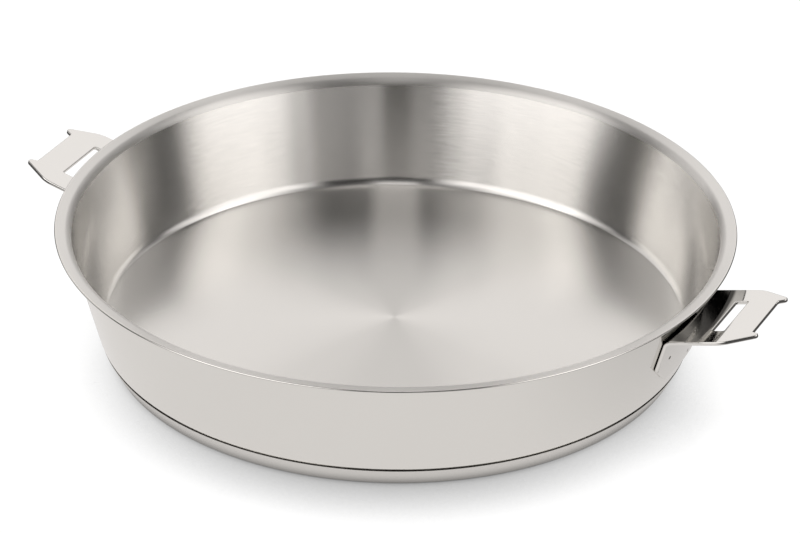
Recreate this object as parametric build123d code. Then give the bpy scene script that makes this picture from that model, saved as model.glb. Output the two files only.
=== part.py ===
from build123d import *
from math import cos, radians, sin, sqrt, tan
import os

# Stainless frying pan with a flared pouring lip, an encapsulated heat-spreading base
# and two slotted brackets for a clip-on handle.
# Millimetres, +Z up. The origin is the middle of the base, on the surface it stands on.
# The two brackets lie along +X and -X.

# Drawn shell
lip_diameter = 300.0
pan_height = 58.2
shell_sheet = 1.0
wall_lean = 14.7
floor_corner_radius = 7.0
lip_reach = 6.3
lip_rise = 8.0
lip_bend_radius = 3.0

# Encapsulated base
disc_thickness = 5.4
disc_shoulder = 1.4
cap_sheet = 0.6
cap_rim_height = 8.5
cap_side_lean = 27.5
cap_edge_radius = 2.0
seam_gap = 0.1

# Handle brackets: a flat tongue above, a curved leg below on the wall
bracket_width = 51.6
bracket_sheet = 1.7
bracket_standoff = 0.3
bracket_bend_radius = 2.3
bracket_arris_radius = 0.5
tongue_root_height = 45.6
tongue_tilt = 14.0
tongue_length = 36.8
leg_drop = 25.3
leg_shoulder_drop = 16.1
leg_foot_width = 30.0
leg_corner_radius = 2.0

# Outline of the tongue's outer end
shoulder_setback = 13.8
shoulder_radius = 12.0
ear_depth = 3.2
ear_spread = 37.0
ear_tip_width = 2.3
ear_tip_fill = 0.97
notch_width = 29.8
notch_radius = 0.8

# Slot that the handle's latch drops into
slot_length = 28.6
slot_width = 5.6
slot_inset = 13.5
slot_corner_radius = 0.7

# Spot welds between a leg and the wall
weld_diameter = 5.0
weld_edge_inset = 7.8
weld_side_drop = 12.3
weld_low_drop = 21.5
weld_low_offset = 6.6
weld_dimple_diameter = 2.6
weld_dimple_depth = 0.2

# Stock that a bracket is cut from reaches past it on every side
stock_margin = 10.0

lip_radius = lip_diameter / 2
lean = radians(wall_lean)
tilt = radians(tongue_tilt)
base_thickness = cap_sheet + disc_thickness
corner_outer_radius = floor_corner_radius + shell_sheet
stock_height = tongue_root_height + tongue_length


def parallel_points(points, distance):
    """Corner points of the path that runs beside an open path, on its left if positive."""
    headings = [(b - a).normalized() for a, b in zip(points, points[1:])]
    normals = [Vector(-h.Y, h.X) for h in headings]
    moved = [points[0] + normals[0] * distance]
    for corner, before, after in zip(points[1:], normals, normals[1:]):
        middle = (before + after).normalized()
        moved.append(corner + middle * (distance / middle.dot(before)))
    moved.append(points[-1] + normals[-1] * distance)
    return moved


def shell_path():
    """Middle of the drawn sheet, from the axis along the floor, up the wall and out the lip."""
    floor_middle = base_thickness + shell_sheet / 2
    lip_end = Vector(lip_radius - shell_sheet / 2, pan_height - shell_sheet / 2)
    bend_radius = lip_radius - lip_reach
    bend_height = lip_end.Y - (lip_end.X - bend_radius) * tan(radians(lip_rise))
    foot_radius = bend_radius - (bend_height - floor_middle) * tan(lean)
    return [
        Vector(0, floor_middle),
        Vector(foot_radius, floor_middle),
        Vector(bend_radius, bend_height),
        lip_end,
    ]


def wall_radius(height, clearance=0.0):
    """Radius of the wall's outer face at a height, plus a clearance square to the wall."""
    foot = shell_path()[1]
    middle = foot.X + (height - foot.Y) * tan(lean)
    return middle + (shell_sheet / 2 + clearance) / cos(lean)


def rounded_sheet_end(below, above):
    """Half-round end of a sheet between the ends of its two faces."""
    across = above - below
    outward = Vector(across.Y, -across.X) / 2
    return ThreePointArc(below, (below + above) / 2 + outward, above)


def sheet_profile(path, thickness, radii):
    """Cross-section of a sheet of one thickness, with its bend radii at mid-sheet."""
    half = thickness / 2
    turns = [
        (b - a).cross(c - b).Z for a, b, c in zip(path, path[1:], path[2:])
    ]
    below = parallel_points(path, -half)
    above = parallel_points(path, half)
    below_radii = [r + half if turn > 0 else r - half for r, turn in zip(radii, turns)]
    above_radii = [r - half if turn > 0 else r + half for r, turn in zip(radii, turns)]
    outline = FilletPolyline(*below, radius=below_radii)
    outline += rounded_sheet_end(below[-1], above[-1])
    outline += FilletPolyline(*above, radius=above_radii)
    outline += Line(below[0], above[0])
    return make_face(Plane.XZ * outline)


def shell_bend_radii():
    return [floor_corner_radius + shell_sheet / 2, lip_bend_radius + shell_sheet / 2]


def pan_shell():
    """Floor, leaning wall and flared pouring lip, drawn from one sheet."""
    return revolve(sheet_profile(shell_path(), shell_sheet, shell_bend_radii()), Axis.Z)


def corner_centre():
    """Centre of the rounded corner between the floor's underside and the wall."""
    corner = parallel_points(shell_path(), -shell_sheet / 2)[1]
    inset = corner_outer_radius * tan((radians(90) - lean) / 2)
    return Vector(corner.X - inset, base_thickness + corner_outer_radius)


def cap_path():
    """Middle of the cap's sheet, up to where its rim meets the shell's rounded corner."""
    centre = corner_centre()
    rim_height = cap_rim_height - cap_sheet / 2
    reach = corner_outer_radius + seam_gap + cap_sheet / 2
    rim_radius = centre.X + sqrt(reach**2 - (centre.Y - rim_height) ** 2)
    floor_middle = cap_sheet / 2
    foot_radius = rim_radius - (rim_height - floor_middle) * tan(radians(cap_side_lean))
    return [
        Vector(0, floor_middle),
        Vector(foot_radius, floor_middle),
        Vector(rim_radius, rim_height),
    ]


def base_cap():
    """Thin stainless cup that wraps the spreader disc and closes against the shell."""
    profile = sheet_profile(cap_path(), cap_sheet, [cap_edge_radius - cap_sheet / 2])
    return revolve(profile, Axis.Z)


def heat_spreader_disc():
    """Aluminium disc that fills the cap, with a low shoulder round the shell's corner."""
    inside = parallel_points(cap_path(), cap_sheet / 2)
    side = inside[2] - inside[1]
    top = base_thickness + disc_shoulder
    side_top = inside[1] + side * ((top - inside[1].Y) / side.Y)
    fill = FilletPolyline(
        Vector(0, top), inside[0], inside[1], side_top, Vector(0, top),
        radius=[0, 0, cap_edge_radius - cap_sheet, 0],
    )
    under = parallel_points(shell_path(), -shell_sheet / 2)
    headroom = FilletPolyline(
        Vector(0, under[2].Y), under[0], under[1], under[2], Vector(0, under[2].Y),
        radius=[0, 0, corner_outer_radius, 0],
    )
    profile = make_face(Plane.XZ * fill) - make_face(Plane.XZ * headroom)
    return revolve(profile, Axis.Z)


def wall_cone(clearance):
    """Solid cone whose side stands a clearance off the pan's wall."""
    return Cone(
        wall_radius(0, clearance),
        wall_radius(stock_height, clearance),
        stock_height,
        align=(Align.CENTER, Align.CENTER, Align.MIN),
    )


def tongue_plane():
    """Top face of the right-hand tongue, at its root on the wall side of the leg."""
    root = wall_radius(tongue_root_height, bracket_standoff)
    return Plane(
        origin=(root, 0, tongue_root_height),
        x_dir=(cos(tilt), 0, sin(tilt)),
        z_dir=(-sin(tilt), 0, cos(tilt)),
    )


def outside_corner(depth, radius):
    """Block below the tongue and outside the wall, set in by a depth, its corner rounded."""
    reach = lip_radius + tongue_length
    block = Pos(reach / 2, 0, 0) * Box(
        reach,
        bracket_width + 2 * stock_margin,
        stock_height,
        align=(Align.CENTER, Align.CENTER, Align.MIN),
    )
    face = tongue_plane()
    lid = Plane(origin=face.origin - face.z_dir * depth, x_dir=face.x_dir, z_dir=face.z_dir)
    block = split(block, bisect_by=lid, keep=Keep.BOTTOM)
    block = block - wall_cone(bracket_standoff + depth)
    bend_line = block.faces().sort_by(Axis.Z)[-1].edges().sort_by(Axis.X)[0]
    return fillet(bend_line, radius)


def full_round_radius(before, start, end, after):
    """Largest equal radius for the two corners at the ends of a short edge."""
    edge = end - start
    corner_tangents = 0
    for turn in ((start - before).get_angle(edge), edge.get_angle(after - end)):
        corner_tangents += tan(radians(turn / 2))
    return ear_tip_fill * edge.length / corner_tangents


def tongue_outline():
    """Outline of the tongue, with its curved shoulders, two ears and straight recess."""
    half = bracket_width / 2
    edge = tongue_length - ear_depth
    side = [
        Vector(tongue_length - shoulder_setback, half),
        Vector(tongue_length, ear_spread / 2),
        Vector(tongue_length, ear_spread / 2 - ear_tip_width),
        Vector(edge, notch_width / 2),
    ]
    ear_radius = full_round_radius(*side)
    radii = [shoulder_radius, ear_radius, ear_radius, notch_radius]
    inner = -leg_drop
    points = [Vector(inner, half)] + side
    points += [Vector(p.X, -p.Y) for p in reversed(side)]
    points += [Vector(inner, -half)]
    corner_radii = [0] + radii + radii[::-1] + [0]
    return make_face(FilletPolyline(*points, radius=corner_radii, close=True))


def slot_outline():
    centre = tongue_length - ear_depth - slot_inset - slot_width / 2
    return Pos(centre, 0) * RectangleRounded(slot_width, slot_length, slot_corner_radius)


def leg_outline():
    """Front view of the bracket: straight sides that draw in to a narrower foot."""
    half = bracket_width / 2
    foot = leg_foot_width / 2
    shoulder = tongue_root_height - leg_shoulder_drop
    bottom = tongue_root_height - leg_drop
    side = [Vector(half, shoulder), Vector(foot, bottom)]
    points = [Vector(half, stock_height)] + side
    points += [Vector(-p.X, p.Y) for p in reversed(side)]
    points += [Vector(-half, stock_height)]
    corners = [0] + [leg_corner_radius] * 4 + [0]
    return make_face(FilletPolyline(*points, radius=corners, close=True))


def weld_places():
    """Where the welds are on a leg, across its width and up from the floor."""
    side = bracket_width / 2 - weld_edge_inset
    side_height = tongue_root_height - weld_side_drop
    low_height = tongue_root_height - weld_low_drop
    return [(-side, side_height), (weld_low_offset, low_height), (side, side_height)]


def weld_plane(across, height, clearance):
    """Plane square to the wall at a weld, standing a clearance off the wall."""
    radius = wall_radius(height, clearance)
    along = sqrt(radius**2 - across**2)
    outward = Vector(along, across, 0) / radius
    return Plane(
        origin=(along, across, height),
        z_dir=outward * cos(lean) - Vector(0, 0, sin(lean)),
    )


def weld_dimple():
    """Ball that dents the sheet's face where the welding tip pressed on it."""
    radius = (weld_dimple_diameter**2 / 4 + weld_dimple_depth**2) / (2 * weld_dimple_depth)
    return Pos(0, 0, radius - weld_dimple_depth) * Sphere(radius)


def right_bracket():
    """Slotted tongue bent from the same sheet as the leg that is welded to the wall.

    Its edges are tumbled smooth all round, and each weld leaves a small dimple in the leg.
    """
    bend_outer = bracket_bend_radius + bracket_sheet
    angle = outside_corner(0, bend_outer)
    angle -= outside_corner(bracket_sheet, bracket_bend_radius)
    depth = leg_drop + stock_margin + tongue_length
    blank = extrude(tongue_plane() * tongue_outline(), depth, both=True)
    front = extrude(Plane.YZ * leg_outline(), lip_radius + 2 * tongue_length)
    slot = extrude(tongue_plane() * slot_outline(), 2 * bracket_sheet, both=True)
    bracket = (angle & blank & front) - slot
    bracket = fillet(bracket.edges(), bracket_arris_radius)
    for across, height in weld_places():
        face = weld_plane(across, height, bracket_standoff + bracket_sheet)
        bracket -= face * weld_dimple()
    return bracket


def right_bracket_welds():
    """Weld nuggets that fill the narrow gap between the wall and the leg."""
    gap = wall_cone(bracket_standoff) - wall_cone(0)
    nuggets = []
    for across, height in weld_places():
        post = weld_plane(across, height, 0) * Cylinder(weld_diameter / 2, 4 * bracket_standoff)
        nuggets.append((gap & post).solid())
    return Compound(nuggets)


def opposite(shape):
    """The same piece on the other side of the pan, as its mirror image."""
    return shape.mirror(Plane.YZ)


def main():
    bracket = right_bracket()
    welds = right_bracket_welds()
    nodes = {
        "pan_shell": pan_shell(),
        "heat_spreader_disc": heat_spreader_disc(),
        "base_cap": base_cap(),
        "right_bracket": bracket,
        "left_bracket": opposite(bracket),
        "right_bracket_welds": welds,
        "left_bracket_welds": opposite(welds),
    }
    os.makedirs("parts", exist_ok=True)
    for name, shape in nodes.items():
        export_step(shape, f"parts/{name}.step")


main()
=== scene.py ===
"""Stainless frying pan with two slotted brackets, dressed and lit for a plain studio picture."""

import logging
from collections.abc import Callable
from dataclasses import dataclass, field
from enum import Enum
from math import atan2, cos, pi, radians, sin, sqrt, tan

import bpy
from mathutils import Matrix, Vector


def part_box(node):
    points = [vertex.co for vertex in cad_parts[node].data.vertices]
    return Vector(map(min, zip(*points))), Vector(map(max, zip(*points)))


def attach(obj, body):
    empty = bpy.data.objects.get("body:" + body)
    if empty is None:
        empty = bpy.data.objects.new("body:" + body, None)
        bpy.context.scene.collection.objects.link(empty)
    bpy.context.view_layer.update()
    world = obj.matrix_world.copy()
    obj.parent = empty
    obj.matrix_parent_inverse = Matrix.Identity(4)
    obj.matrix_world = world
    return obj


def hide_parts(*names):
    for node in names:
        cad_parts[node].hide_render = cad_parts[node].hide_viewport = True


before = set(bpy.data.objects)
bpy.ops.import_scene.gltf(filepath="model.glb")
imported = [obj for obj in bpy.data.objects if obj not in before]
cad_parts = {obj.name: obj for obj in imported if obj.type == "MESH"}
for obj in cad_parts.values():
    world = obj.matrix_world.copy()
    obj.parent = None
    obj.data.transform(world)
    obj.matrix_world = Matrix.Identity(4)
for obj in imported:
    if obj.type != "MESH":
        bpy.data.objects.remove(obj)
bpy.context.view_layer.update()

log = logging.getLogger("frying_pan")
logging.basicConfig(level=logging.INFO, format="%(name)s: %(message)s")

MM = 0.001
CUT_NEAR = 0.001 * MM
MERGE_NEAR = 0.002 * MM
FLAT_ANGLE = radians(0.1)
SMOOTH_ANGLE = radians(30)

# The directions of the studio's light are in degrees.
HALF_TURN = 180.0
ZENITH = 90.0

EVEN_SHEET = {"use_even_offset": True, "use_quality_normals": True}

Test = Callable[..., bool]
Inputs = dict[str | int, object]


class Side(Enum):
    """The side of the pan that a bracket is on, as a sign along X."""

    RIGHT = 1
    LEFT = -1


class Part(Enum):
    """A kind of part of a mesh, as Blender names it."""

    EDGES = "EDGE"
    FACES = "FACE"


def deselect_all() -> None:
    """Leave edit mode and deselect every object."""
    if bpy.context.object and bpy.context.object.mode != "OBJECT":
        bpy.ops.object.mode_set(mode="OBJECT")
    bpy.ops.object.select_all(action="DESELECT")


def activate(piece: bpy.types.Object) -> None:
    """Make a piece the active object and the only selected one, in object mode.

    Args:
        piece: the object.
    """
    deselect_all()
    bpy.context.view_layer.objects.active = piece
    piece.select_set(True)


def apply_transforms() -> None:
    """Apply the selected object's place, rotation and scale to its mesh."""
    bpy.ops.object.transform_apply(location=True, rotation=True, scale=True)


def named_piece(name: str) -> bpy.types.Object:
    """Name the primitive that was just added and its mesh, and apply its transforms.

    Args:
        name: the piece's name.

    Returns:
        The active object.
    """
    piece = bpy.context.object
    piece.name = name
    piece.data.name = name
    apply_transforms()
    return piece


def pick(piece: bpy.types.Object, part: Part, test: Test) -> None:
    """Select by place or normal the parts of a mesh for which a test holds.

    Args:
        piece: the object in edit mode.
        part: whether edges or faces are tested.
        test: takes an edge's two corner places or a face, and says whether it is wanted.
    """
    bpy.ops.mesh.select_mode(type=part.value)
    bpy.ops.mesh.select_all(action="DESELECT")
    bpy.ops.object.mode_set(mode="OBJECT")
    mesh = piece.data
    count = 0
    if part is Part.EDGES:
        items = [(edge, [mesh.vertices[i].co for i in edge.vertices]) for edge in mesh.edges]
    else:
        items = [(face, face) for face in mesh.polygons]
    for item, asked in items:
        item.select = bool(test(asked))
        count += item.select
    bpy.ops.object.mode_set(mode="EDIT")
    log.debug("%s: %d %s picked", piece.name, count, part.name.lower())


def apply_modifier(piece: bpy.types.Object, kind: str, **settings: object) -> None:
    """Add a modifier and apply it.

    Args:
        piece: the object, in object mode or edit mode.
        kind: the modifier's type.
        settings: the modifier's options.
    """
    activate(piece)
    modifier = piece.modifiers.new(kind.title(), kind)
    for key, value in settings.items():
        setattr(modifier, key, value)
    bpy.ops.object.modifier_apply(modifier=modifier.name)


def close_and_smooth(piece: bpy.types.Object) -> None:
    """Merge doubles, turn the faces outwards and shade the curved surfaces smooth.

    Args:
        piece: the object.
    """
    activate(piece)
    bpy.ops.object.mode_set(mode="EDIT")
    bpy.ops.mesh.select_all(action="SELECT")
    bpy.ops.mesh.remove_doubles(threshold=MERGE_NEAR)
    bpy.ops.mesh.normals_make_consistent(inside=False)
    bpy.ops.object.mode_set(mode="OBJECT")
    bpy.ops.object.shade_smooth_by_angle(angle=SMOOTH_ANGLE)


def cut_away(place: Vector, normal: Vector) -> None:
    """Cut the whole mesh that is in edit mode by a plane, clear what lies beyond it and cap a solid."""
    bpy.ops.mesh.select_all(action="SELECT")
    bpy.ops.mesh.bisect(
        plane_co=place, plane_no=normal, clear_outer=True, use_fill=True, threshold=CUT_NEAR
    )


def radius_of(place: Vector) -> float:
    """Distance of a place from the pan's axis."""
    return sqrt(place.x**2 + place.y**2)


@dataclass
class RoundSheet:
    """A round sheet piece: a disc whose edge is drawn up in rings, then given its thickness."""

    name: str
    segments: int
    thickness: float
    floor_height: float
    foot_radius: float
    end_steps: int = 5
    end_share: float = 0.98

    def start(self) -> bpy.types.Object:
        """Add the floor disc at mid-sheet and leave its edge loop selected in edit mode.

        Returns:
            The new object.
        """
        deselect_all()
        bpy.ops.mesh.primitive_circle_add(
            vertices=self.segments,
            radius=self.foot_radius,
            fill_type="NGON",
            location=(0, 0, self.floor_height),
        )
        piece = named_piece(self.name)
        bpy.ops.object.mode_set(mode="EDIT")
        bpy.ops.mesh.select_all(action="SELECT")
        bpy.ops.mesh.region_to_loop()
        return piece

    def draw_ring(self, radius: float, height: float, new_radius: float, new_height: float) -> None:
        """Extrude the selected loop into a ring.

        Args:
            radius: the selected loop's radius.
            height: the selected loop's height.
            new_radius: radius of the ring's new edge.
            new_height: height of the ring's new edge.
        """
        rise = (0, 0, new_height - height)
        bpy.ops.mesh.extrude_region_move(TRANSFORM_OT_translate={"value": rise})
        widen = new_radius / radius
        bpy.ops.transform.resize(value=(widen, widen, 1), center_override=(0, 0, new_height))

    def round_ring(
        self, piece: bpy.types.Object, radius: float, height: float, offset: float, segments: int
    ) -> None:
        """Bevel the ring of edges at a radius and height.

        Args:
            piece: the object in edit mode.
            radius: the ring's radius.
            height: the ring's height.
            offset: how far from the corner the rounding starts.
            segments: how many strips it has.
        """
        near = 0.05 * MM

        def on_ring(corners: list[Vector]) -> bool:
            """Whether an edge is part of the ring."""
            return all(abs(radius_of(c) - radius) < near and abs(c.z - height) < near for c in corners)

        pick(piece, Part.EDGES, on_ring)
        bpy.ops.mesh.bevel(offset=offset, segments=segments, affect="EDGES", clamp_overlap=False)

    def thicken(self, piece: bpy.types.Object) -> None:
        """Give the mid-sheet surface its thickness, half on each side.

        Args:
            piece: the object in edit mode.
        """
        bpy.ops.mesh.select_all(action="SELECT")
        bpy.ops.mesh.normals_make_consistent(inside=False)
        apply_modifier(piece, "SOLIDIFY", thickness=self.thickness, offset=0, **EVEN_SHEET)

    def cut_end(self, middle: tuple[float, float], rise: float) -> tuple[float, float]:
        """Radius and height of the cut end at mid-sheet, half a thickness past its rounding's middle."""
        half = self.thickness / 2
        return middle[0] + half * cos(rise), middle[1] + half * sin(rise)

    def round_cut_end(self, piece: bpy.types.Object, middle: tuple[float, float], rise: float) -> None:
        """Round the sheet's cut end all round the piece.

        Args:
            piece: the thickened piece.
            middle: radius and height of the middle of the rounding.
            rise: how steeply the sheet climbs there.
        """
        bpy.ops.object.mode_set(mode="EDIT")
        half = self.thickness / 2
        near = 0.02 * MM
        end = self.cut_end(middle, rise)
        edges = [(end[0] - k * sin(rise) * half, end[1] + k * cos(rise) * half) for k in (-1, 1)]

        def at_cut_end(places: list[Vector]) -> bool:
            """Whether an edge runs round one of the cut end's two corners."""
            return any(
                all(abs(radius_of(p) - r) < near and abs(p.z - z) < near for p in places)
                for r, z in edges
            )

        pick(piece, Part.EDGES, at_cut_end)
        bpy.ops.mesh.bevel(offset=self.end_share * half, segments=self.end_steps, affect="EDGES")
        bpy.ops.object.mode_set(mode="OBJECT")


class Nodes:
    """A node tree under construction, with short ways to add and join nodes."""

    def __init__(self, tree: bpy.types.NodeTree) -> None:
        """Start from an empty tree."""
        self.tree = tree
        tree.nodes.clear()

    def add(self, kind: str, inputs: Inputs | None = None, **settings: object) -> bpy.types.Node:
        """Add a node, set its options and fill its inputs with values or other nodes' outputs.

        Args:
            kind: the node's type, without the leading ShaderNode.
            inputs: a value or an output socket for each named or numbered input.
            settings: the node's own options.

        Returns:
            The new node.
        """
        node = self.tree.nodes.new("ShaderNode" + kind)
        for key, value in settings.items():
            setattr(node, key, value)
        for key, value in (inputs or {}).items():
            if isinstance(value, bpy.types.NodeSocket):
                self.tree.links.new(value, node.inputs[key])
            else:
                node.inputs[key].default_value = value
        return node

    def math(self, operation: str, *values: object) -> bpy.types.NodeSocket:
        """Output of a Math node on one to three values or sockets."""
        return self.add("Math", dict(enumerate(values)), operation=operation).outputs[0]

    def vector(self, operation: str, *values: object) -> bpy.types.NodeSocket:
        """Vector output of a Vector Math node on one or two vectors or sockets."""
        return self.add("VectorMath", dict(enumerate(values)), operation=operation).outputs[0]

    def map_range(
        self, value: bpy.types.NodeSocket, start: float, end: float, low: float = 0.0, high: float = 1.0
    ) -> bpy.types.NodeSocket:
        """Output of a smooth step from low at a start value to high at an end value."""
        inputs = {"Value": value, "From Min": start, "From Max": end, "To Min": low, "To Max": high}
        return self.add("MapRange", inputs, interpolation_type="SMOOTHSTEP").outputs[0]

    def spread(self, value: bpy.types.NodeSocket, middle: float, amount: float) -> bpy.types.NodeSocket:
        """Turn a noise value about one half into one about a middle, by an amount either way."""
        off = self.math("SUBTRACT", value, 0.5)
        return self.math("MULTIPLY_ADD", off, 2 * amount, middle)


class Grain(Enum):
    """How a metal surface was worked."""

    CIRCULAR = "brushed in circles round the axis"
    EVEN = "polished, rolled or left as it set"


@dataclass(frozen=True)
class Finish:
    """A metal finish: its colour, its gloss and the marks of how it was worked.

    The grain is a noise that is fine across the brushing and drawn out along it. Its sizes are in
    metres. The shares say how far it moves the roughness and the tone either way, and the swing
    how far it turns the direction of the brushing. The gloss is drawn out across the brushing, a
    quarter of a turn from it.
    """

    name: str
    colour: tuple[float, float, float]
    roughness: float
    grain: Grain = Grain.EVEN
    grain_width: float = 0.7 * MM
    grain_length: float = 9 * MM
    grain_radius: float = 135 * MM
    grain_swing: float = 0.0
    gloss_turn: float = 0.25
    roughness_share: float = 0.05
    tone_share: float = 0.0
    grain_detail: float = 2.0
    grain_fineness: float = 0.6
    cloud_size: float = 35 * MM
    cloud_share: float = 0.01
    cloud_detail: float = 3.0

    def grain_vector(self, nodes: Nodes, place: bpy.types.NodeSocket) -> bpy.types.NodeSocket:
        """Coordinates of the grain's noise, round the axis and along the pan's profile.

        Args:
            nodes: the material's node tree.
            place: the surface point in the object's own coordinates.

        Returns:
            The coordinates, in grain widths and lengths.
        """
        if self.grain is Grain.EVEN:
            return nodes.vector("MULTIPLY", place, (1 / self.grain_width,) * 3)
        flat = nodes.vector("MULTIPLY", place, (1, 1, 0))
        radius = nodes.add("VectorMath", {0: flat}, operation="LENGTH").outputs["Value"]
        height = nodes.add("SeparateXYZ", {0: place}).outputs["Z"]
        around = nodes.vector("NORMALIZE", flat)
        turns = self.grain_radius / self.grain_length
        around = nodes.vector("MULTIPLY", around, (turns, turns, 0))
        profile = nodes.math("DIVIDE", nodes.math("ADD", radius, height), self.grain_width)
        return nodes.vector("ADD", around, nodes.add("CombineXYZ", {2: profile}).outputs[0])

    def brush_direction(
        self, nodes: Nodes, where: bpy.types.Node, grain: bpy.types.NodeSocket
    ) -> bpy.types.NodeSocket:
        """Direction of the brushing: round the axis, and swung to and fro a little by the grain.

        Args:
            nodes: the material's node tree.
            where: the texture coordinates.
            grain: the grain's noise.

        Returns:
            The direction, along the surface.
        """
        flat = nodes.vector("MULTIPLY", where.outputs["Object"], (1, 1, 0))
        around = nodes.vector("NORMALIZE", nodes.vector("CROSS_PRODUCT", (0, 0, 1), flat))
        across = nodes.vector("CROSS_PRODUCT", where.outputs["Normal"], around)
        swing = nodes.spread(grain, 0.0, self.grain_swing)
        swung = nodes.add("VectorMath", {0: across, 3: swing}, operation="SCALE").outputs[0]
        return nodes.vector("ADD", around, swung)

    def material(self) -> bpy.types.Material:
        """Build the finish as a node material.

        Returns:
            The new material.
        """
        material = bpy.data.materials.new(self.name)
        material.use_nodes = True
        nodes = Nodes(material.node_tree)
        where = nodes.add("TexCoord")
        place = where.outputs["Object"]
        grain_inputs = {
            "Vector": self.grain_vector(nodes, place),
            "Scale": 1.0,
            "Detail": self.grain_detail,
            "Roughness": self.grain_fineness,
        }
        grain = nodes.add("TexNoise", grain_inputs).outputs["Fac"]
        cloud_inputs = {"Vector": place, "Scale": 1 / self.cloud_size, "Detail": self.cloud_detail}
        cloud = nodes.add("TexNoise", cloud_inputs)
        tone = nodes.math(
            "MULTIPLY",
            nodes.spread(grain, 1.0, self.tone_share),
            nodes.spread(cloud.outputs["Fac"], 1.0, self.cloud_share),
        )
        inputs = {
            "Base Color": nodes.add("VectorMath", {0: self.colour, 3: tone}, operation="SCALE").outputs[0],
            "Metallic": 1.0,
            "Roughness": nodes.spread(grain, self.roughness, self.roughness * self.roughness_share),
        }
        if self.grain is Grain.CIRCULAR:
            inputs["Anisotropic"] = 1.0
            inputs["Anisotropic Rotation"] = self.gloss_turn
            inputs["Tangent"] = self.brush_direction(nodes, where, grain)
        shader = nodes.add("BsdfPrincipled", inputs)
        nodes.add("OutputMaterial", {"Surface": shader.outputs[0]})
        return material

    def coat(self, piece: bpy.types.Object) -> None:
        """Give the whole piece this finish, in place of any that it has."""
        piece.data.materials.clear()
        piece.data.materials.append(self.material())

    def coat_part(self, piece: bpy.types.Object, test: Test) -> None:
        """Give this finish to the faces for which a test holds.

        Args:
            piece: the object, which keeps its other finishes.
            test: takes a face and says whether it is wanted.
        """
        activate(piece)
        piece.data.materials.append(self.material())
        piece.active_material_index = len(piece.data.materials) - 1
        bpy.ops.object.mode_set(mode="EDIT")
        pick(piece, Part.FACES, test)
        bpy.ops.object.material_slot_assign()
        bpy.ops.object.mode_set(mode="OBJECT")


BRUSHED = Finish(
    "brushed_steel", (0.78, 0.77, 0.75), 0.20, Grain.CIRCULAR, grain_swing=0.15, tone_share=0.08
)
BRUSHED_LIP = Finish("brushed_lip", (0.78, 0.77, 0.75), 0.31, Grain.CIRCULAR, tone_share=0.02)
BRUSHED_BEND = Finish("brushed_bend", (0.78, 0.77, 0.75), 0.38, Grain.CIRCULAR, tone_share=0.02)
BRIGHT = Finish("bright_steel", (0.80, 0.79, 0.765), 0.10)
# Near-black finish for the band above the cap's rim: painted shade in the joint's groove.
SEAM_SHADE = Finish("painted_seam_shade", (0.06, 0.055, 0.05), 0.50, roughness_share=0.2)
SATIN = Finish("satin_steel", (0.74, 0.73, 0.71), 0.20, Grain.CIRCULAR, tone_share=0.02)
MIRROR = Finish("mirror_steel", (0.80, 0.79, 0.77), 0.06)
WELD = Finish("weld_steel", (0.55, 0.54, 0.52), 0.45, roughness_share=0.2, tone_share=0.1)
WELD_MARK = Finish("weld_mark", (0.10, 0.09, 0.08), 0.50, roughness_share=0.2)
ALUMINIUM = Finish("rolled_aluminium", (0.80, 0.80, 0.81), 0.35, tone_share=0.02)


def tangent_length(radius: float, turn: float) -> float:
    """How far an arc of a radius that makes a turn starts from the corner that it rounds."""
    return radius * tan(turn / 2)


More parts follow.
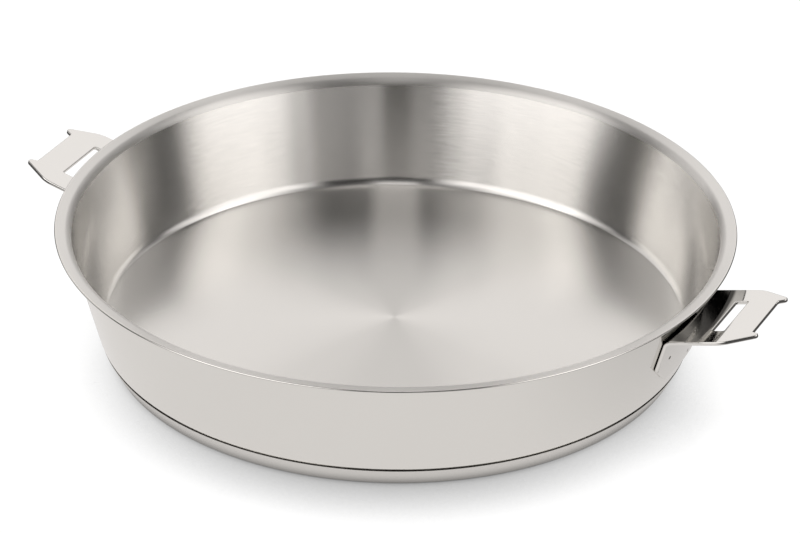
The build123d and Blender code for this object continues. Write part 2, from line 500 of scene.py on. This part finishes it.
@dataclass
class PanShell:
    """The drawn bowl: floor, leaning wall and flared pouring lip."""

    segments: int = 256
    sheet: float = 1.0 * MM
    lean: float = radians(14.7)
    floor_corner_radius: float = 7.0 * MM
    lip_reach: float = 6.3 * MM
    lip_rise: float = radians(8.0)
    lip_bend_radius: float = 3.0 * MM
    base_thickness: float = 6.0 * MM
    # Height band of the painted shade in the joint above the cap's rim.
    seam_shade_low: float = 7.6 * MM
    seam_shade_high: float = 8.9 * MM
    bend_inside: float = 1.6 * MM
    bend_outside: float = 1.2 * MM
    corner_steps: int = 16
    bend_steps: int = 10
    low: Vector = field(default_factory=lambda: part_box("pan_shell")[0])
    high: Vector = field(default_factory=lambda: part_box("pan_shell")[1])

    @property
    def lip_end(self) -> tuple[float, float]:
        """Radius and height of the middle of the lip's rounded end."""
        return self.high.x - self.sheet / 2, self.high.z - self.sheet / 2

    @property
    def lip_bend(self) -> tuple[float, float]:
        """Radius and height of the corner between the wall and the lip at mid-sheet.

        Returns:
            Where the two straight runs would meet without the bend.
        """
        radius = self.high.x - self.lip_reach
        end_radius, end_height = self.lip_end
        return radius, end_height - (end_radius - radius) * tan(self.lip_rise)

    @property
    def foot(self) -> tuple[float, float]:
        """Radius and height of the corner between the floor and the wall at mid-sheet.

        Returns:
            Where the two straight runs would meet without the rounding.
        """
        height = self.base_thickness + self.sheet / 2
        radius, bend_height = self.lip_bend
        return radius - (bend_height - height) * tan(self.lean), height

    def wall_radius(self, height: float, clearance: float = 0.0) -> float:
        """Radius of the wall's outer face, or of a cone just off it.

        Args:
            height: the height above the ground.
            clearance: distance off the wall, square to it.

        Returns:
            The radius at that height.
        """
        radius, foot_height = self.foot
        middle = radius + (height - foot_height) * tan(self.lean)
        return middle + (self.sheet / 2 + clearance) / cos(self.lean)

    def build(self) -> bpy.types.Object:
        """Draw the bowl up from its floor disc and thicken it.

        Returns:
            The finished shell.
        """
        foot_radius, foot_height = self.foot
        bend_radius, bend_height = self.lip_bend
        sheet = RoundSheet("shell", self.segments, self.sheet, foot_height, foot_radius)
        piece = sheet.start()
        sheet.draw_ring(foot_radius, foot_height, bend_radius, bend_height)
        sheet.draw_ring(bend_radius, bend_height, *sheet.cut_end(self.lip_end, self.lip_rise))
        half = self.sheet / 2
        foot_turn = pi / 2 - self.lean
        lip_turn = pi / 2 - self.lean - self.lip_rise
        corner = tangent_length(self.floor_corner_radius + half, foot_turn)
        sheet.round_ring(piece, foot_radius, foot_height, corner, self.corner_steps)
        bend = tangent_length(self.lip_bend_radius + half, lip_turn)
        sheet.round_ring(piece, bend_radius, bend_height, bend, self.bend_steps)
        sheet.thicken(piece)
        sheet.round_cut_end(piece, self.lip_end, self.lip_rise)
        close_and_smooth(piece)
        return piece

    def dress(self, piece: bpy.types.Object) -> None:
        """Brush the inside in circles, its bend at the lip coarser, and leave the outside bright.

        The outside has a dark band just above the base cap's rim: painted shade in the joint's groove.

        Args:
            piece: the finished shell.
        """
        end_radius = self.lip_end[0]
        bend_radius = self.lip_bend[0]
        facing_down = -0.2

        def is_outside(face: bpy.types.MeshPolygon) -> bool:
            """Whether a face looks away from the axis or down, or is on the lip's rounded end."""
            outward = face.normal.x * face.center.x + face.normal.y * face.center.y > 0
            return outward or face.normal.z < facing_down or radius_of(face.center) > end_radius

        def is_bend(face: bpy.types.MeshPolygon) -> bool:
            """Whether a face is on the inside of the bend between wall and lip."""
            off = radius_of(face.center) - bend_radius
            return -self.bend_inside < off < self.bend_outside and not is_outside(face)

        def is_lip(face: bpy.types.MeshPolygon) -> bool:
            """Whether a face is on top of the lip, past the bend."""
            return radius_of(face.center) > bend_radius + self.bend_outside and not is_outside(face)

        def is_seam_shade(face: bpy.types.MeshPolygon) -> bool:
            """Whether a face is in the band of painted joint shade above the base cap's rim."""
            return self.seam_shade_low < face.center.z < self.seam_shade_high and is_outside(face)

        BRUSHED.coat(piece)
        BRUSHED_BEND.coat_part(piece, is_bend)
        BRUSHED_LIP.coat_part(piece, is_lip)
        BRIGHT.coat_part(piece, is_outside)
        # Paints the joint's shade as a near-black band above the cap's rim.
        SEAM_SHADE.coat_part(piece, is_seam_shade)


@dataclass
class BaseCap:
    """The thin cap that wraps the spreader disc and closes against the shell's corner."""

    shell: PanShell
    segments: int = 256
    sheet: float = 0.6 * MM
    side_lean: float = radians(27.5)
    edge_radius: float = 2.0 * MM
    seam_gap: float = 0.1 * MM
    corner_steps: int = 8
    high: Vector = field(default_factory=lambda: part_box("base_cap")[1])

    @property
    def rim(self) -> tuple[float, float]:
        """Radius and height of the middle of the rim's rounded end, against the shell's corner.

        Returns:
            The place that leaves the seam's gap to the outside of the shell's rounded corner.
        """
        shell = self.shell
        corner_radius = shell.floor_corner_radius + shell.sheet
        centre_height = shell.base_thickness + corner_radius
        corner_inset = tangent_length(corner_radius, pi / 2 - shell.lean)
        centre_radius = shell.wall_radius(shell.base_thickness) - corner_inset
        height = self.high.z - self.sheet / 2
        reach = corner_radius + self.seam_gap + self.sheet / 2
        return centre_radius + sqrt(reach**2 - (centre_height - height) ** 2), height

    def build(self) -> bpy.types.Object:
        """Draw the cap up from its floor disc, thicken it and round its rim.

        Returns:
            The finished cap.
        """
        rim_radius, rim_height = self.rim
        foot_height = self.sheet / 2
        foot_radius = rim_radius - (rim_height - foot_height) * tan(self.side_lean)
        sheet = RoundSheet("cap", self.segments, self.sheet, foot_height, foot_radius)
        rise = pi / 2 - self.side_lean
        piece = sheet.start()
        sheet.draw_ring(foot_radius, foot_height, *sheet.cut_end((rim_radius, rim_height), rise))
        bend = tangent_length(self.edge_radius - self.sheet / 2, rise)
        sheet.round_ring(piece, foot_radius, foot_height, bend, self.corner_steps)
        sheet.thicken(piece)
        sheet.round_cut_end(piece, (rim_radius, rim_height), rise)
        close_and_smooth(piece)
        return piece

    def dress(self, piece: bpy.types.Object) -> None:
        """Give the cap its satin finish, and the disc that it wraps plain aluminium."""
        SATIN.coat(piece)
        ALUMINIUM.coat(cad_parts["heat_spreader_disc"])


@dataclass
class HandleBracket:
    """A slotted tongue bent from the same sheet as the leg that is welded to the wall.

    The drops are measured down from the tongue's root.
    """

    shell: PanShell
    side: Side
    segments: int = 720
    sheet: float = 1.7 * MM
    width: float = 51.6 * MM
    standoff: float = 0.3 * MM
    bend_radius: float = 2.3 * MM
    root_height: float = 45.6 * MM
    tilt: float = radians(14.0)
    length: float = 36.8 * MM
    leg_drop: float = 25.3 * MM
    shoulder_drop: float = 16.1 * MM
    foot_width: float = 30.0 * MM
    leg_corner_radius: float = 2.0 * MM
    shoulder_setback: float = 13.8 * MM
    shoulder_radius: float = 12.0 * MM
    ear_depth: float = 3.2 * MM
    ear_spread: float = 37.0 * MM
    ear_tip_width: float = 2.3 * MM
    ear_radius: float = 1.65 * MM
    notch_width: float = 29.8 * MM
    notch_radius: float = 0.8 * MM
    slot_length: float = 28.6 * MM
    slot_width: float = 5.6 * MM
    slot_inset: float = 13.5 * MM
    slot_corner_radius: float = 0.7 * MM
    arris: float = 0.5 * MM
    margin: float = 4.0 * MM
    weld_edge_inset: float = 7.8 * MM
    weld_side_drop: float = 12.3 * MM
    weld_low_drop: float = 21.5 * MM
    weld_low_offset: float = 6.6 * MM
    dimple_width: float = 2.6 * MM
    dimple_depth: float = 0.2 * MM
    mark_width: float = 1.6 * MM
    steps: int = 8
    arris_steps: int = 4
    arris_angle: float = radians(40)
    tip_segments: int = 24
    tip_rings: int = 64
    normal_weight: int = 100

    @property
    def along(self) -> Vector:
        """Direction of the tongue, away from the pan."""
        return Vector((cos(self.tilt), 0, sin(self.tilt)))

    @property
    def up(self) -> Vector:
        """Normal of the tongue's top face."""
        return Vector((-sin(self.tilt), 0, cos(self.tilt)))

    @property
    def root(self) -> Vector:
        """Middle of the tongue's top face where it meets the leg's wall side."""
        return Vector((self.shell.wall_radius(self.root_height, self.standoff), 0, self.root_height))

    def on_tongue(self, reach: float, across: float) -> Vector:
        """Place on the tongue's top face."""
        return self.root + self.along * reach + Vector((0, across, 0))

    def bend_sheet(self) -> bpy.types.Object:
        """Bend a sheet over: a strip of cone just off the wall, and the flat tongue from its top.

        Returns:
            The sheet's outer face, larger than the bracket all round.
        """
        deselect_all()
        low = self.root_height - self.leg_drop - self.margin
        high = self.root_height + self.margin
        bpy.ops.mesh.primitive_cone_add(
            vertices=self.segments,
            radius1=self.shell.wall_radius(low, self.standoff),
            radius2=self.shell.wall_radius(high, self.standoff),
            depth=high - low,
            end_fill_type="NOTHING",
            location=(0, 0, (high + low) / 2),
        )
        piece = named_piece(f"{self.side.name.lower()}_handle_bracket")
        bpy.ops.object.mode_set(mode="EDIT")
        half = self.width / 2 + self.margin
        cut_away(Vector((self.root.x / 2, 0, 0)), Vector((-1, 0, 0)))
        cut_away(Vector((0, half, 0)), Vector((0, 1, 0)))
        cut_away(Vector((0, -half, 0)), Vector((0, -1, 0)))
        cut_away(self.root, self.up)
        near = 0.01 * MM

        def on_top(corners: list[Vector]) -> bool:
            """Whether an edge lies in the plane of the tongue's top face."""
            return all(abs((c - self.root).dot(self.up)) < near for c in corners)

        pick(piece, Part.EDGES, on_top)
        reach = self.along * (self.length + 2 * self.margin)
        bpy.ops.mesh.extrude_region_move(TRANSFORM_OT_translate={"value": reach})

        def on_bend(corners: list[Vector]) -> bool:
            """Whether an edge is where the tongue's top face meets the leg."""
            return on_top(corners) and all(
                abs(radius_of(c) - self.shell.wall_radius(c.z, self.standoff)) < near for c in corners
            )

        pick(piece, Part.EDGES, on_bend)
        turn = pi / 2 - self.tilt - self.shell.lean
        offset = tangent_length(self.bend_radius + self.sheet, turn)
        bpy.ops.mesh.bevel(offset=offset, segments=self.steps, affect="EDGES", clamp_overlap=False)
        bpy.ops.mesh.select_all(action="SELECT")
        bpy.ops.mesh.normals_make_consistent(inside=False)
        bpy.ops.object.mode_set(mode="OBJECT")
        tongue = max(piece.data.polygons, key=lambda face: face.area)
        grow = -1 if tongue.normal.dot(self.up) > 0 else 1
        apply_modifier(piece, "SOLIDIFY", thickness=self.sheet, offset=grow, **EVEN_SHEET)
        return piece

    def trim(self, piece: bpy.types.Object) -> None:
        """Cut the bent sheet to the outline of the tongue and the leg.

        Args:
            piece: the bent sheet.
        """
        half = self.width / 2
        shoulder_height = self.root_height - self.shoulder_drop
        foot_height = self.root_height - self.leg_drop
        activate(piece)
        bpy.ops.object.mode_set(mode="EDIT")
        cut_away(self.on_tongue(self.length, 0), self.along)
        cut_away(Vector((0, 0, foot_height)), Vector((0, 0, -1)))
        for sign in (-1, 1):
            cut_away(Vector((0, sign * half, 0)), Vector((0, sign, 0)))
            shoulder = self.on_tongue(self.length - self.shoulder_setback, sign * half)
            ear = self.on_tongue(self.length, sign * self.ear_spread / 2)
            cut_away(shoulder, (ear - shoulder).cross(self.up) * -sign)
            shoulder = Vector((0, sign * half, shoulder_height))
            foot = Vector((0, sign * self.foot_width / 2, foot_height))
            cut_away(shoulder, (foot - shoulder).cross(Vector((1, 0, 0))) * -sign)
        bpy.ops.mesh.select_all(action="SELECT")
        bpy.ops.mesh.dissolve_limited(angle_limit=FLAT_ANGLE)
        bpy.ops.object.mode_set(mode="OBJECT")

    def tongue_outline(self) -> list[tuple[Vector, float]]:
        """List the corners of the tongue's outline, from its side to its middle.

        Returns:
            The place on its top face and the radius of each.
        """
        ear = self.ear_spread / 2
        corners = [
            (0, self.width / 2, 0),
            (self.length - self.shoulder_setback, self.width / 2, self.shoulder_radius),
            (self.length, ear, self.ear_radius),
            (self.length, ear - self.ear_tip_width, self.ear_radius),
            (self.length - self.ear_depth, self.notch_width / 2, self.notch_radius),
            (self.length - self.ear_depth, 0, 0),
        ]
        return [(self.on_tongue(reach, across), radius) for reach, across, radius in corners]

    def leg_outline(self) -> list[tuple[Vector, float]]:
        """List the corners of the leg's outline, from its side to its middle.

        Returns:
            The place below the tongue's root and the radius of each.
        """
        foot = self.root_height - self.leg_drop
        corners = [
            (self.width / 2, self.root_height),
            (self.width / 2, self.root_height - self.shoulder_drop),
            (self.foot_width / 2, foot),
            (0, foot),
        ]
        return [(Vector((self.root.x, *corner)), self.leg_corner_radius) for corner in corners]

    def round_corners(self, piece: bpy.types.Object) -> None:
        """Round the corners of the tongue's outline and of the leg's.

        Args:
            piece: the trimmed bracket.
        """
        activate(piece)
        bpy.ops.object.mode_set(mode="EDIT")
        outlines = ((self.tongue_outline(), self.up), (self.leg_outline(), Vector((1, 0, 0))))
        for points, heading in outlines:
            for (before, _), (corner, radius), (after, _) in zip(points, points[1:], points[2:]):
                turn = (corner - before).angle(after - corner)
                for sign in (-1, 1):
                    self.round_edge(piece, corner * Vector((1, sign, 1)), heading, radius, turn)
        bpy.ops.object.mode_set(mode="OBJECT")

    def round_edge(
        self, piece: bpy.types.Object, place: Vector, heading: Vector, radius: float, turn: float
    ) -> None:
        """Round the edge that runs through a place in a direction.

        Args:
            piece: the object in edit mode.
            place: a point on the edge or in line with it.
            heading: the edge's direction, as a unit vector.
            radius: the radius of the rounding.
            turn: how far the outline turns there.
        """
        near = 0.05 * MM

        def in_line(ends: list[Vector]) -> bool:
            """Whether an edge runs along the line and is longer than half the sheet."""
            run = abs((ends[1] - ends[0]).dot(heading))
            return run > self.sheet / 2 and all((e - place).cross(heading).length < near for e in ends)

        pick(piece, Part.EDGES, in_line)
        offset = tangent_length(radius, turn)
        bpy.ops.mesh.bevel(offset=offset, segments=self.steps, affect="EDGES", clamp_overlap=False)

    def add_punch(self, start: float, end: float, width: float, end_width: float) -> bpy.types.Object:
        """Add a cutter that goes through the tongue.

        Args:
            start: reach at which it begins.
            end: reach at which it ends.
            width: its width at the start.
            end_width: its width at the end.

        Returns:
            The cutter, in edit mode.
        """
        deselect_all()
        depth = 3 * self.sheet
        bpy.ops.mesh.primitive_cube_add(
            size=1,
            location=self.on_tongue((start + end) / 2, 0) - self.up * self.sheet / 2,
            rotation=(0, -self.tilt, 0),
            scale=(end - start, width, depth),
        )
        cutter = named_piece("punch")
        bpy.ops.object.mode_set(mode="EDIT")
        ahead = 0.9
        pick(cutter, Part.FACES, lambda face: face.normal.dot(self.along) > ahead)
        bpy.ops.transform.resize(value=(1, end_width / width, 1), center_override=(0, 0, 0))
        return cutter

    def use_punch(self, piece: bpy.types.Object, cutter: bpy.types.Object) -> None:
        """Cut the punch's shape out of the bracket and take the punch away."""
        apply_modifier(piece, "BOOLEAN", operation="DIFFERENCE", object=cutter, solver="MANIFOLD")
        bpy.data.objects.remove(cutter)

    def cut_recess(self, piece: bpy.types.Object) -> None:
        """Cut the straight recess between the ears, with its sides flared.

        Args:
            piece: the trimmed bracket.
        """
        start = self.length - self.ear_depth
        tip_spread = self.ear_spread - 2 * self.ear_tip_width
        flare = (tip_spread - self.notch_width) / self.ear_depth
        end = self.length + self.margin
        cutter = self.add_punch(start, end, self.notch_width, self.notch_width + flare * (end - start))
        turn = pi / 2 - atan2(flare, 2)
        for sign in (-1, 1):
            place = self.on_tongue(start, sign * self.notch_width / 2)
            self.round_edge(cutter, place, self.up, self.notch_radius, turn)
        self.use_punch(piece, cutter)

    def cut_slot(self, piece: bpy.types.Object) -> None:
        """Cut the slot, with its corners rounded.

        Args:
            piece: the trimmed bracket.
        """
        end = self.length - self.ear_depth - self.slot_inset
        start = end - self.slot_width
        activate(piece)
        bpy.ops.object.mode_set(mode="EDIT")
        bpy.ops.mesh.select_all(action="SELECT")
        middle = self.on_tongue((start + end) / 2, 0)
        bpy.ops.mesh.bisect(plane_co=middle, plane_no=self.along, threshold=CUT_NEAR)
        cutter = self.add_punch(start, end, self.slot_length, self.slot_length)
        for reach in (start, end):
            for sign in (-1, 1):
                place = self.on_tongue(reach, sign * self.slot_length / 2)
                self.round_edge(cutter, place, self.up, self.slot_corner_radius, pi / 2)
        self.use_punch(piece, cutter)

    def weld_places(self) -> list[tuple[float, float]]:
        """Where the spot welds are on the right-hand leg.

        Returns:
            For each weld, its place across the leg and its height above the ground.
        """
        side = self.width / 2 - self.weld_edge_inset
        high = self.root_height - self.weld_side_drop
        low = self.root_height - self.weld_low_drop
        return [(-side, high), (self.weld_low_offset, low), (side, high)]

    def on_leg(self, across: float, height: float) -> tuple[Vector, Vector]:
        """Find a point of the right-hand leg's outer face.

        Args:
            across: its place across the leg.
            height: its height above the ground.

        Returns:
            The point, and the face's normal there.
        """
        radius = self.shell.wall_radius(height, self.standoff + self.sheet)
        outward = Vector((sqrt(radius**2 - across**2), across, 0)) / radius
        normal = outward * cos(self.shell.lean) - Vector((0, 0, sin(self.shell.lean)))
        return outward * radius + Vector((0, 0, height)), normal

    def dent_welds(self, piece: bpy.types.Object) -> None:
        """Press a shallow ball-shaped dimple into the leg's outer face at each weld.

        Args:
            piece: the right-hand bracket, before it is mirrored.
        """
        ball = (self.dimple_width**2 / 4 + self.dimple_depth**2) / (2 * self.dimple_depth)
        for across, height in self.weld_places():
            place, normal = self.on_leg(across, height)
            deselect_all()
            bpy.ops.mesh.primitive_uv_sphere_add(
                segments=self.tip_segments,
                ring_count=self.tip_rings,
                radius=ball,
                location=place + normal * (ball - self.dimple_depth),
                rotation=normal.to_track_quat("Z", "Y").to_euler(),
            )
            self.use_punch(piece, named_piece("weld_tip"))

    def build(self) -> bpy.types.Object:
        """Bend and trim the sheet, cut its openings, soften its edges and dent the welds.

        Returns:
            The finished bracket.
        """
        piece = self.bend_sheet()
        self.trim(piece)
        self.cut_slot(piece)
        self.cut_recess(piece)
        self.round_corners(piece)
        apply_modifier(
            piece,
            "BEVEL",
            width=self.arris,
            segments=self.arris_steps,
            limit_method="ANGLE",
            angle_limit=self.arris_angle,
            use_clamp_overlap=False,
        )
        self.dent_welds(piece)
        if self.side is Side.LEFT:
            activate(piece)
            bpy.ops.transform.mirror(constraint_axis=(True, False, False), center_override=(0, 0, 0))
            apply_transforms()
        close_and_smooth(piece)
        apply_modifier(piece, "WEIGHTED_NORMAL", weight=self.normal_weight, keep_sharp=True)
        return piece

    def dress(self, piece: bpy.types.Object) -> None:
        """Give the bracket its mirror polish, darkened in the weld dimples, and its nuggets dull steel.

        Args:
            piece: the finished bracket.
        """
        marks = [self.on_leg(across, height)[0] for across, height in self.weld_places()]
        turned = Vector((self.side.value, 1, 1))

        def is_mark(face: bpy.types.MeshPolygon) -> bool:
            """Whether a face is near the middle of a weld dimple."""
            return any((face.center * turned - mark).length < self.mark_width / 2 for mark in marks)

        MIRROR.coat(piece)
        WELD_MARK.coat_part(piece, is_mark)
        WELD.coat(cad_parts[f"{self.side.name.lower()}_bracket_welds"])


@dataclass(frozen=True)
class Softbox:
    """A patch of light in the surround with soft edges, its angles in degrees.

    The azimuth runs anticlockwise from the camera's right, so 90 is beyond the pan.
    """

    azimuth: float
    elevation: float
    half_width: float
    half_height: float
    softness: float
    brightness: float

    def light(
        self, nodes: Nodes, around: bpy.types.NodeSocket, height: bpy.types.NodeSocket
    ) -> bpy.types.NodeSocket:
        """Add the nodes of the patch.

        Args:
            nodes: the world's node tree.
            around: azimuth of the direction, in degrees.
            height: elevation of the direction, in degrees.

        Returns:
            Its brightness in that direction.
        """
        turn = nodes.math("WRAP", nodes.math("SUBTRACT", around, self.azimuth), HALF_TURN, -HALF_TURN)
        rise = nodes.math("SUBTRACT", height, self.elevation)
        shares = []
        for off, half in ((turn, self.half_width), (rise, self.half_height)):
            inner = half - self.softness / 2
            outer = half + self.softness / 2
            shares.append(nodes.map_range(nodes.math("ABSOLUTE", off), outer, inner))
        return nodes.math("MULTIPLY", nodes.math("MULTIPLY", *shares), self.brightness)


SOFTBOXES = (
    Softbox(220, 18, 30, 32, 20, 1.45),
    Softbox(183, 40, 12, 16, 14, 1.00),
    Softbox(146, 12, 16, 14, 12, 0.70),
    Softbox(136, 34, 28, 13, 10, 0.55),
    Softbox(140, 64, 28, 8, 8, 0.50),
    Softbox(90, 29, 24, 20, 18, 0.97),
    Softbox(48, 34, 24, 13, 10, 0.50),
    Softbox(42, 64, 28, 8, 8, 0.50),
    Softbox(2, 38, 14, 18, 14, 1.10),
    Softbox(327, 18, 21, 30, 18, 1.40),
    Softbox(290, 6, 15, 14, 5, 0.40),
    Softbox(257, 6, 8, 14, 6, 0.25),
    Softbox(270, 63, 13, 11, 8, 0.80),
    Softbox(200, 56, 24, 14, 14, 0.75),
    Softbox(354, 56, 24, 14, 14, 0.75),
    Softbox(0, 90, 180, 13, 10, 0.80),
)


@dataclass
class Studio:
    """Camera, floor and surrounding light.

    In the pan's mirror the floor's glow fades over the lit reach from the pan's axis, and over the
    side reach to the camera's right. The dim light fills the surround between the softboxes.
    """

    distance: float = 1.68296
    elevation: float = radians(29.5614)
    azimuth: float = radians(25.7153)
    pan: float = radians(-0.0809)
    tilt: float = radians(1.0320)
    roll: float = radians(-0.6807)
    lens: float = 169.09
    sensor_width: float = 36.0
    clip: tuple[float, float] = (0.05, 200.0)
    floor_size: float = 60.0
    floor_height: float = -0.0001
    floor_paint: float = 0.08
    shade_reach: float = 60 * MM
    shade_lean: float = radians(30)
    shade_slope: float = 1.74
    shade_depth: float = 0.08
    mirrored_glow: float = 0.74
    contact_reach: float = 3 * MM
    shade_samples: int = 16
    lit_reach: tuple[float, float] = (185 * MM, 270 * MM)
    far_share: float = 0.05
    side_reach: tuple[float, float] = (60 * MM, 190 * MM)
    side_share: float = 0.75
    dim_side: float = 0.0
    dim_top: float = 0.15
    dim_height: float = 30.0
    warm: tuple[float, float, float, float] = (1.02, 0.99, 0.97, 1.0)
    softboxes: tuple[Softbox, ...] = SOFTBOXES

    def add_camera(self) -> bpy.types.Object:
        """Place the camera round the pan, aimed at its base and then turned a little.

        Returns:
            The camera.
        """
        bpy.ops.object.camera_add()
        camera = bpy.context.object
        camera.name = "photo_camera"
        around = Matrix.Rotation(self.azimuth, 3, "Z")
        place = around @ Vector((0, -cos(self.elevation), sin(self.elevation))) * self.distance
        aim = (-place).to_track_quat("-Z", "Y").to_matrix()
        turned = Matrix.Rotation(self.pan, 3, "Z") @ aim
        turned = Matrix.Rotation(self.tilt, 3, turned.col[0]) @ turned
        turned = Matrix.Rotation(self.roll, 3, -turned.col[2]) @ turned
        camera.matrix_world = Matrix.Translation(place) @ turned.to_4x4()
        camera.data.lens = self.lens
        camera.data.sensor_width = self.sensor_width
        camera.data.sensor_fit = "HORIZONTAL"
        camera.data.clip_start, camera.data.clip_end = self.clip
        bpy.context.scene.camera = camera
        return camera

    def add_floor(self) -> bpy.types.Object:
        """Add the pale floor, white to the camera wherever the pan doesn't shade it.

        The shade is that of a wide light above and beyond the pan. The pan mirrors the floor as a
        lit table top that ends in the dark a little way off.

        Returns:
            The floor.
        """
        deselect_all()
        bpy.ops.mesh.primitive_plane_add(size=self.floor_size, location=(0, 0, self.floor_height))
        floor = named_piece("studio_floor")
        material = bpy.data.materials.new("studio_floor")
        material.use_nodes = True
        nodes = Nodes(material.node_tree)
        rays = nodes.add("LightPath").outputs
        contact = {"Distance": self.contact_reach}
        near = nodes.add("AmbientOcclusion", contact, samples=self.shade_samples)
        leaned = Vector((0, sin(self.shade_lean), cos(self.shade_lean)))
        beyond = Matrix.Rotation(self.azimuth, 3, "Z") @ leaned
        upward = nodes.add("CombineXYZ", dict(enumerate(beyond))).outputs[0]
        shade = {"Distance": self.shade_reach, "Normal": upward}
        wide = nodes.add("AmbientOcclusion", shade, samples=self.shade_samples)
        open_share = nodes.math("MULTIPLY_ADD", wide.outputs["AO"], self.shade_slope, self.shade_depth)
        seen = nodes.math("MULTIPLY", rays["Is Camera Ray"], nodes.math("MINIMUM", open_share, 1.0))
        place = nodes.add("TexCoord").outputs["Object"]
        away = nodes.add("VectorMath", {0: place}, operation="LENGTH").outputs["Value"]
        right = (cos(self.azimuth), sin(self.azimuth), 0)
        aside = nodes.add("VectorMath", {0: place, 1: right}, operation="DOT_PRODUCT").outputs["Value"]
        far_glow = self.mirrored_glow * self.far_share
        mirrored = nodes.math(
            "MULTIPLY",
            nodes.map_range(away, *self.lit_reach, self.mirrored_glow, far_glow),
            nodes.map_range(aside, *self.side_reach, 1.0, self.side_share),
        )
        mirrored = nodes.math("MULTIPLY", mirrored, near.outputs["AO"])
        mirrored = nodes.math("MULTIPLY", mirrored, rays["Is Glossy Ray"])
        paint = nodes.add("BsdfDiffuse", {"Color": (*[self.floor_paint] * 3, 1)})
        white = nodes.add("Emission", {"Strength": seen})
        warm = nodes.add("Emission", {"Color": self.warm, "Strength": mirrored})
        glow = nodes.add("AddShader", {0: white.outputs[0], 1: warm.outputs[0]})
        both = nodes.add("AddShader", {0: paint.outputs[0], 1: glow.outputs[0]})
        nodes.add("OutputMaterial", {"Surface": both.outputs[0]})
        floor.data.materials.append(material)
        return floor

    def add_world(self) -> bpy.types.World:
        """Surround the pan with softboxes over a dim base, and show plain white to the camera.

        Returns:
            The world.
        """
        world = bpy.data.worlds.new("studio_surround")
        bpy.context.scene.world = world
        world.use_nodes = True
        nodes = Nodes(world.node_tree)
        direction = nodes.add("TexCoord").outputs["Generated"]
        turned = nodes.add(
            "VectorRotate",
            {"Vector": direction, "Axis": (0, 0, 1), "Angle": -self.azimuth},
            rotation_type="AXIS_ANGLE",
        ).outputs[0]
        share = nodes.add("TexGradient", {"Vector": turned}, gradient_type="RADIAL").outputs["Fac"]
        around = nodes.math("MULTIPLY_ADD", share, 2 * HALF_TURN, -HALF_TURN)
        rise = nodes.math("ARCSINE", nodes.add("SeparateXYZ", {0: turned}).outputs["Z"])
        height = nodes.math("DEGREES", rise)
        total = nodes.map_range(height, self.dim_height, ZENITH, self.dim_side, self.dim_top)
        for box in self.softboxes:
            total = nodes.math("ADD", total, box.light(nodes, around, height))
        seen = nodes.add("LightPath").outputs["Is Camera Ray"]
        studio = nodes.add("Background", {"Color": self.warm, "Strength": total})
        white = nodes.add("Background", {"Color": (1, 1, 1, 1), "Strength": 1.0})
        shown = nodes.add("MixShader", {0: seen, 1: studio.outputs[0], 2: white.outputs[0]})
        nodes.add("OutputWorld", {"Surface": shown.outputs[0]})
        return world


def main() -> None:
    """Build every piece and report it."""
    studio = Studio()
    studio.add_camera()
    studio.add_floor()
    studio.add_world()
    bpy.context.scene.view_settings.view_transform = "Standard"
    shell = PanShell()
    made: list[tuple[PanShell | BaseCap | HandleBracket, str, str]] = [
        (shell, "pan_shell", "brushed_stainless"),
        (BaseCap(shell), "base_cap", "satin_stainless"),
    ]
    for side in Side:
        node = f"{side.name.lower()}_bracket"
        made.append((HandleBracket(shell, side), node, "polished_stainless"))
    for maker, node, slot in made:
        piece = maker.build()
        maker.dress(piece)
        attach(piece, "root")
        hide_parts(node)
        log.info("%s: %d faces in place of %s", piece.name, len(piece.data.polygons), node)


if __name__ == "__main__":
    main()
